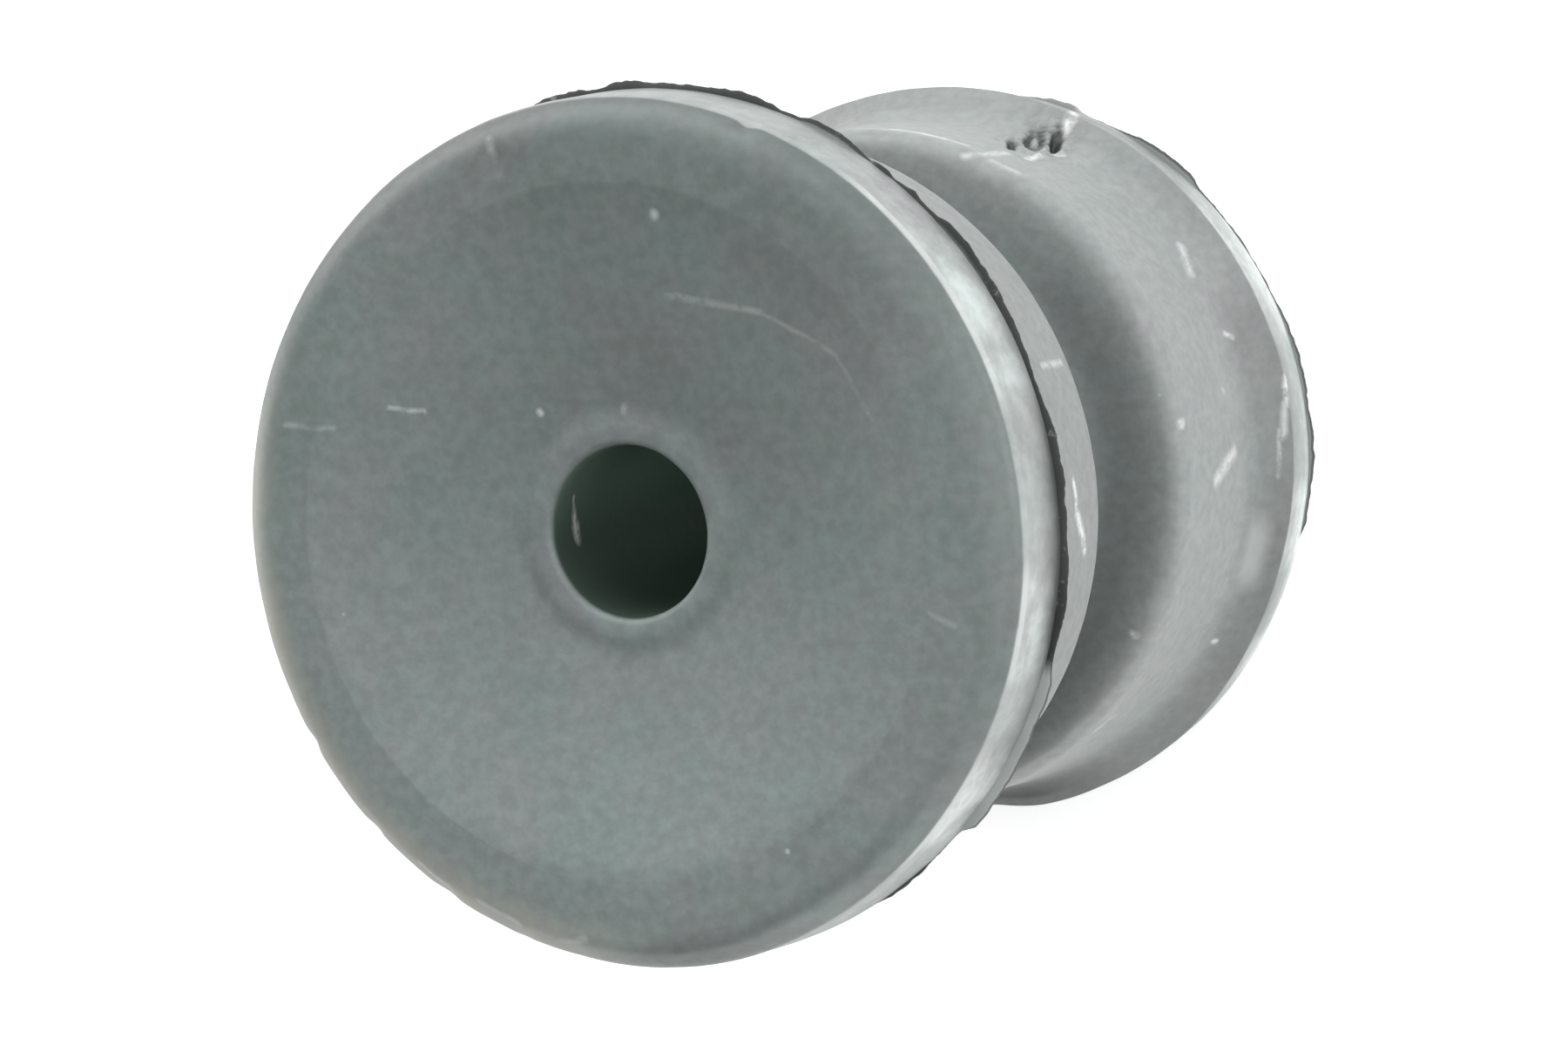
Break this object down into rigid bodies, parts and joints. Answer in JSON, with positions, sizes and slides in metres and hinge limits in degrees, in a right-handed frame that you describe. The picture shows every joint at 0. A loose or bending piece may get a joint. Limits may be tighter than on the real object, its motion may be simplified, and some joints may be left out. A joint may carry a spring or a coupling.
{
  "type": "body mount bushing",
  "caption": "Spool-shaped rubber bushing that cushions a vehicle body on its frame, with a flange at each end, a waist groove for the bracket and a bore for the bolt.",
  "frame": {"origin": "middle of the flat ring that the bushing stands on, on the bore's axis", "axes": "+Z along the bore's axis, up from the end it stands on; the two ends are alike but for where the flash sits"},
  "size_m": [0.0648, 0.0648, 0.0684],
  "materials": {
    "rubber": "moulded grey rubber, satin, lightly scuffed"
  },
  "bodies": {
    "root": {"bushing": "rubber"}
  },
  "joints": []
}
